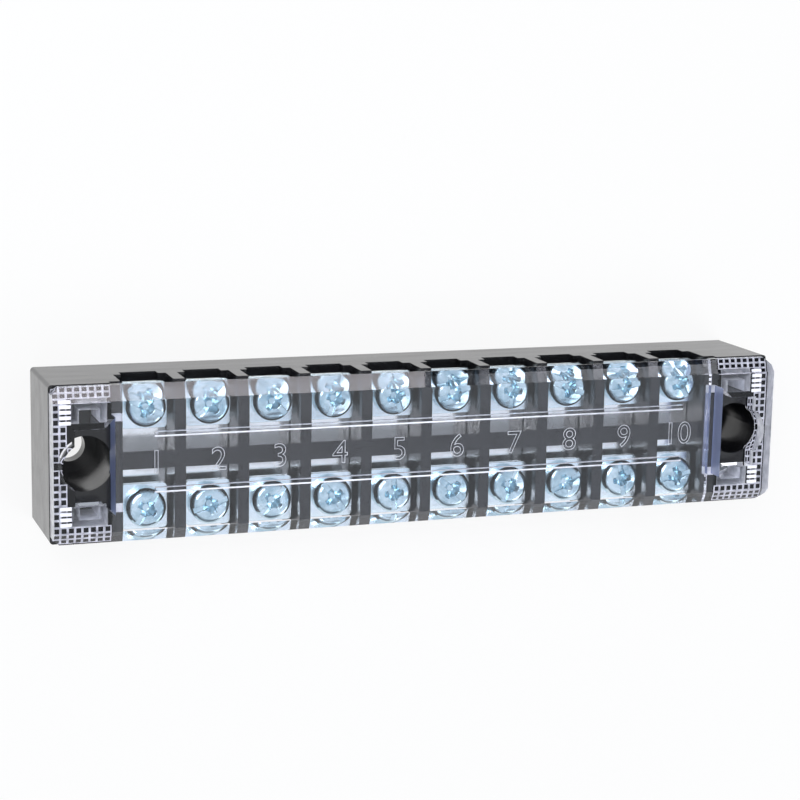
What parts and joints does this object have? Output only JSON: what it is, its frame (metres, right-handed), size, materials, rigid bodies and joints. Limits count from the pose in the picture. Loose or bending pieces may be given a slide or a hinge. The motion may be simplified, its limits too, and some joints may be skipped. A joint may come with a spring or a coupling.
{
  "type": "barrier terminal strip",
  "caption": "Barrier terminal strip with rows of backed-off clamp screws over flat conductors, moulded barriers between positions and a clear clip-on cover.",
  "frame": {"origin": "middle of the mounting face", "axes": "+X along the positions in number order, +Y towards clamp row a, +Z from the mounting face to the cover"},
  "size_m": [0.1084, 0.022, 0.0172],
  "materials": {
    "housing_plastic": "glossy black moulded thermoplastic",
    "clear_cover": "clear polished polycarbonate",
    "conductor_metal": "nickel-plated brass, lightly rolled",
    "screw_metal": "bright zinc-plated steel",
    "washer_metal": "bright zinc-plated steel"
  },
  "bodies": {
    "base": {"housing": "housing_plastic", "conductor_1": "conductor_metal", "conductor_2": "conductor_metal", "conductor_3": "conductor_metal", "conductor_4": "conductor_metal", "conductor_5": "conductor_metal", "conductor_6": "conductor_metal", "conductor_7": "conductor_metal", "conductor_8": "conductor_metal", "conductor_9": "conductor_metal", "conductor_10": "conductor_metal"},
    "cover": {"cover": "clear_cover"},
    "washer_a1": {"clamp_washer_a1": "washer_metal"},
    "screw_a1": {"clamp_screw_a1": "screw_metal"},
    "washer_a2": {"clamp_washer_a2": "washer_metal"},
    "screw_a2": {"clamp_screw_a2": "screw_metal"},
    "washer_a3": {"clamp_washer_a3": "washer_metal"},
    "screw_a3": {"clamp_screw_a3": "screw_metal"},
    "washer_a4": {"clamp_washer_a4": "washer_metal"},
    "screw_a4": {"clamp_screw_a4": "screw_metal"},
    "washer_a5": {"clamp_washer_a5": "washer_metal"},
    "screw_a5": {"clamp_screw_a5": "screw_metal"},
    "washer_a6": {"clamp_washer_a6": "washer_metal"},
    "screw_a6": {"clamp_screw_a6": "screw_metal"},
    "washer_a7": {"clamp_washer_a7": "washer_metal"},
    "screw_a7": {"clamp_screw_a7": "screw_metal"},
    "washer_a8": {"clamp_washer_a8": "washer_metal"},
    "screw_a8": {"clamp_screw_a8": "screw_metal"},
    "washer_a9": {"clamp_washer_a9": "washer_metal"},
    "screw_a9": {"clamp_screw_a9": "screw_metal"},
    "washer_a10": {"clamp_washer_a10": "washer_metal"},
    "screw_a10": {"clamp_screw_a10": "screw_metal"},
    "washer_b1": {"clamp_washer_b1": "washer_metal"},
    "screw_b1": {"clamp_screw_b1": "screw_metal"},
    "washer_b2": {"clamp_washer_b2": "washer_metal"},
    "screw_b2": {"clamp_screw_b2": "screw_metal"},
    "washer_b3": {"clamp_washer_b3": "washer_metal"},
    "screw_b3": {"clamp_screw_b3": "screw_metal"},
    "washer_b4": {"clamp_washer_b4": "washer_metal"},
    "screw_b4": {"clamp_screw_b4": "screw_metal"},
    "washer_b5": {"clamp_washer_b5": "washer_metal"},
    "screw_b5": {"clamp_screw_b5": "screw_metal"},
    "washer_b6": {"clamp_washer_b6": "washer_metal"},
    "screw_b6": {"clamp_screw_b6": "screw_metal"},
    "washer_b7": {"clamp_washer_b7": "washer_metal"},
    "screw_b7": {"clamp_screw_b7": "screw_metal"},
    "washer_b8": {"clamp_washer_b8": "washer_metal"},
    "screw_b8": {"clamp_screw_b8": "screw_metal"},
    "washer_b9": {"clamp_washer_b9": "washer_metal"},
    "screw_b9": {"clamp_screw_b9": "screw_metal"},
    "washer_b10": {"clamp_washer_b10": "washer_metal"},
    "screw_b10": {"clamp_screw_b10": "screw_metal"}
  },
  "joints": [
    {"name": "cover_lift", "type": "slide", "parent": "base", "child": "cover", "axis": [0, 0, 1], "range_m": [0, 0.025]},
    {"name": "clamp_a1_travel", "type": "slide", "parent": "base", "child": "washer_a1", "axis": [0, 0, 1], "range_m": [-0.002, 0.0015]},
    {"name": "screw_a1_turn", "type": "hinge", "parent": "washer_a1", "child": "screw_a1", "pos_m": [-0.0405, 0.0071, 0.0107], "axis": [0, 0, 1], "range_deg": [-1440, 1080]},
    {"name": "clamp_a2_travel", "type": "slide", "parent": "base", "child": "washer_a2", "axis": [0, 0, 1], "range_m": [-0.002, 0.0015]},
    {"name": "screw_a2_turn", "type": "hinge", "parent": "washer_a2", "child": "screw_a2", "pos_m": [-0.0315, 0.0071, 0.0107], "axis": [0, 0, 1], "range_deg": [-1440, 1080]},
    {"name": "clamp_a3_travel", "type": "slide", "parent": "base", "child": "washer_a3", "axis": [0, 0, 1], "range_m": [-0.002, 0.0015]},
    {"name": "screw_a3_turn", "type": "hinge", "parent": "washer_a3", "child": "screw_a3", "pos_m": [-0.0225, 0.0071, 0.0107], "axis": [0, 0, 1], "range_deg": [-1440, 1080]},
    {"name": "clamp_a4_travel", "type": "slide", "parent": "base", "child": "washer_a4", "axis": [0, 0, 1], "range_m": [-0.002, 0.0015]},
    {"name": "screw_a4_turn", "type": "hinge", "parent": "washer_a4", "child": "screw_a4", "pos_m": [-0.0135, 0.0071, 0.0107], "axis": [0, 0, 1], "range_deg": [-1440, 1080]},
    {"name": "clamp_a5_travel", "type": "slide", "parent": "base", "child": "washer_a5", "axis": [0, 0, 1], "range_m": [-0.002, 0.0015]},
    {"name": "screw_a5_turn", "type": "hinge", "parent": "washer_a5", "child": "screw_a5", "pos_m": [-0.0045, 0.0071, 0.0107], "axis": [0, 0, 1], "range_deg": [-1440, 1080]},
    {"name": "clamp_a6_travel", "type": "slide", "parent": "base", "child": "washer_a6", "axis": [0, 0, 1], "range_m": [-0.002, 0.0015]},
    {"name": "screw_a6_turn", "type": "hinge", "parent": "washer_a6", "child": "screw_a6", "pos_m": [0.0045, 0.0071, 0.0107], "axis": [0, 0, 1], "range_deg": [-1440, 1080]},
    {"name": "clamp_a7_travel", "type": "slide", "parent": "base", "child": "washer_a7", "axis": [0, 0, 1], "range_m": [-0.002, 0.0015]},
    {"name": "screw_a7_turn", "type": "hinge", "parent": "washer_a7", "child": "screw_a7", "pos_m": [0.0135, 0.0071, 0.0107], "axis": [0, 0, 1], "range_deg": [-1440, 1080]},
    {"name": "clamp_a8_travel", "type": "slide", "parent": "base", "child": "washer_a8", "axis": [0, 0, 1], "range_m": [-0.002, 0.0015]},
    {"name": "screw_a8_turn", "type": "hinge", "parent": "washer_a8", "child": "screw_a8", "pos_m": [0.0225, 0.0071, 0.0107], "axis": [0, 0, 1], "range_deg": [-1440, 1080]},
    {"name": "clamp_a9_travel", "type": "slide", "parent": "base", "child": "washer_a9", "axis": [0, 0, 1], "range_m": [-0.002, 0.0015]},
    {"name": "screw_a9_turn", "type": "hinge", "parent": "washer_a9", "child": "screw_a9", "pos_m": [0.0315, 0.0071, 0.0107], "axis": [0, 0, 1], "range_deg": [-1440, 1080]},
    {"name": "clamp_a10_travel", "type": "slide", "parent": "base", "child": "washer_a10", "axis": [0, 0, 1], "range_m": [-0.002, 0.0015]},
    {"name": "screw_a10_turn", "type": "hinge", "parent": "washer_a10", "child": "screw_a10", "pos_m": [0.0405, 0.0071, 0.0107], "axis": [0, 0, 1], "range_deg": [-1440, 1080]},
    {"name": "clamp_b1_travel", "type": "slide", "parent": "base", "child": "washer_b1", "axis": [0, 0, 1], "range_m": [-0.002, 0.0015]},
    {"name": "screw_b1_turn", "type": "hinge", "parent": "washer_b1", "child": "screw_b1", "pos_m": [-0.0405, -0.0071, 0.0107], "axis": [0, 0, 1], "range_deg": [-1440, 1080]},
    {"name": "clamp_b2_travel", "type": "slide", "parent": "base", "child": "washer_b2", "axis": [0, 0, 1], "range_m": [-0.002, 0.0015]},
    {"name": "screw_b2_turn", "type": "hinge", "parent": "washer_b2", "child": "screw_b2", "pos_m": [-0.0315, -0.0071, 0.0107], "axis": [0, 0, 1], "range_deg": [-1440, 1080]},
    {"name": "clamp_b3_travel", "type": "slide", "parent": "base", "child": "washer_b3", "axis": [0, 0, 1], "range_m": [-0.002, 0.0015]},
    {"name": "screw_b3_turn", "type": "hinge", "parent": "washer_b3", "child": "screw_b3", "pos_m": [-0.0225, -0.0071, 0.0107], "axis": [0, 0, 1], "range_deg": [-1440, 1080]},
    {"name": "clamp_b4_travel", "type": "slide", "parent": "base", "child": "washer_b4", "axis": [0, 0, 1], "range_m": [-0.002, 0.0015]},
    {"name": "screw_b4_turn", "type": "hinge", "parent": "washer_b4", "child": "screw_b4", "pos_m": [-0.0135, -0.0071, 0.0107], "axis": [0, 0, 1], "range_deg": [-1440, 1080]},
    {"name": "clamp_b5_travel", "type": "slide", "parent": "base", "child": "washer_b5", "axis": [0, 0, 1], "range_m": [-0.002, 0.0015]},
    {"name": "screw_b5_turn", "type": "hinge", "parent": "washer_b5", "child": "screw_b5", "pos_m": [-0.0045, -0.0071, 0.0107], "axis": [0, 0, 1], "range_deg": [-1440, 1080]},
    {"name": "clamp_b6_travel", "type": "slide", "parent": "base", "child": "washer_b6", "axis": [0, 0, 1], "range_m": [-0.002, 0.0015]},
    {"name": "screw_b6_turn", "type": "hinge", "parent": "washer_b6", "child": "screw_b6", "pos_m": [0.0045, -0.0071, 0.0107], "axis": [0, 0, 1], "range_deg": [-1440, 1080]},
    {"name": "clamp_b7_travel", "type": "slide", "parent": "base", "child": "washer_b7", "axis": [0, 0, 1], "range_m": [-0.002, 0.0015]},
    {"name": "screw_b7_turn", "type": "hinge", "parent": "washer_b7", "child": "screw_b7", "pos_m": [0.0135, -0.0071, 0.0107], "axis": [0, 0, 1], "range_deg": [-1440, 1080]},
    {"name": "clamp_b8_travel", "type": "slide", "parent": "base", "child": "washer_b8", "axis": [0, 0, 1], "range_m": [-0.002, 0.0015]},
    {"name": "screw_b8_turn", "type": "hinge", "parent": "washer_b8", "child": "screw_b8", "pos_m": [0.0225, -0.0071, 0.0107], "axis": [0, 0, 1], "range_deg": [-1440, 1080]},
    {"name": "clamp_b9_travel", "type": "slide", "parent": "base", "child": "washer_b9", "axis": [0, 0, 1], "range_m": [-0.002, 0.0015]},
    {"name": "screw_b9_turn", "type": "hinge", "parent": "washer_b9", "child": "screw_b9", "pos_m": [0.0315, -0.0071, 0.0107], "axis": [0, 0, 1], "range_deg": [-1440, 1080]},
    {"name": "clamp_b10_travel", "type": "slide", "parent": "base", "child": "washer_b10", "axis": [0, 0, 1], "range_m": [-0.002, 0.0015]},
    {"name": "screw_b10_turn", "type": "hinge", "parent": "washer_b10", "child": "screw_b10", "pos_m": [0.0405, -0.0071, 0.0107], "axis": [0, 0, 1], "range_deg": [-1440, 1080]}
  ],
  "couplings": [
    {"joint": "screw_a1_turn", "follows": "clamp_a1_travel", "rad_per_m": 12566},
    {"joint": "screw_a2_turn", "follows": "clamp_a2_travel", "rad_per_m": 12566},
    {"joint": "screw_a3_turn", "follows": "clamp_a3_travel", "rad_per_m": 12566},
    {"joint": "screw_a4_turn", "follows": "clamp_a4_travel", "rad_per_m": 12566},
    {"joint": "screw_a5_turn", "follows": "clamp_a5_travel", "rad_per_m": 12566},
    {"joint": "screw_a6_turn", "follows": "clamp_a6_travel", "rad_per_m": 12566},
    {"joint": "screw_a7_turn", "follows": "clamp_a7_travel", "rad_per_m": 12566},
    {"joint": "screw_a8_turn", "follows": "clamp_a8_travel", "rad_per_m": 12566},
    {"joint": "screw_a9_turn", "follows": "clamp_a9_travel", "rad_per_m": 12566},
    {"joint": "screw_a10_turn", "follows": "clamp_a10_travel", "rad_per_m": 12566},
    {"joint": "screw_b1_turn", "follows": "clamp_b1_travel", "rad_per_m": 12566},
    {"joint": "screw_b2_turn", "follows": "clamp_b2_travel", "rad_per_m": 12566},
    {"joint": "screw_b3_turn", "follows": "clamp_b3_travel", "rad_per_m": 12566},
    {"joint": "screw_b4_turn", "follows": "clamp_b4_travel", "rad_per_m": 12566},
    {"joint": "screw_b5_turn", "follows": "clamp_b5_travel", "rad_per_m": 12566},
    {"joint": "screw_b6_turn", "follows": "clamp_b6_travel", "rad_per_m": 12566},
    {"joint": "screw_b7_turn", "follows": "clamp_b7_travel", "rad_per_m": 12566},
    {"joint": "screw_b8_turn", "follows": "clamp_b8_travel", "rad_per_m": 12566},
    {"joint": "screw_b9_turn", "follows": "clamp_b9_travel", "rad_per_m": 12566},
    {"joint": "screw_b10_turn", "follows": "clamp_b10_travel", "rad_per_m": 12566}
  ]
}
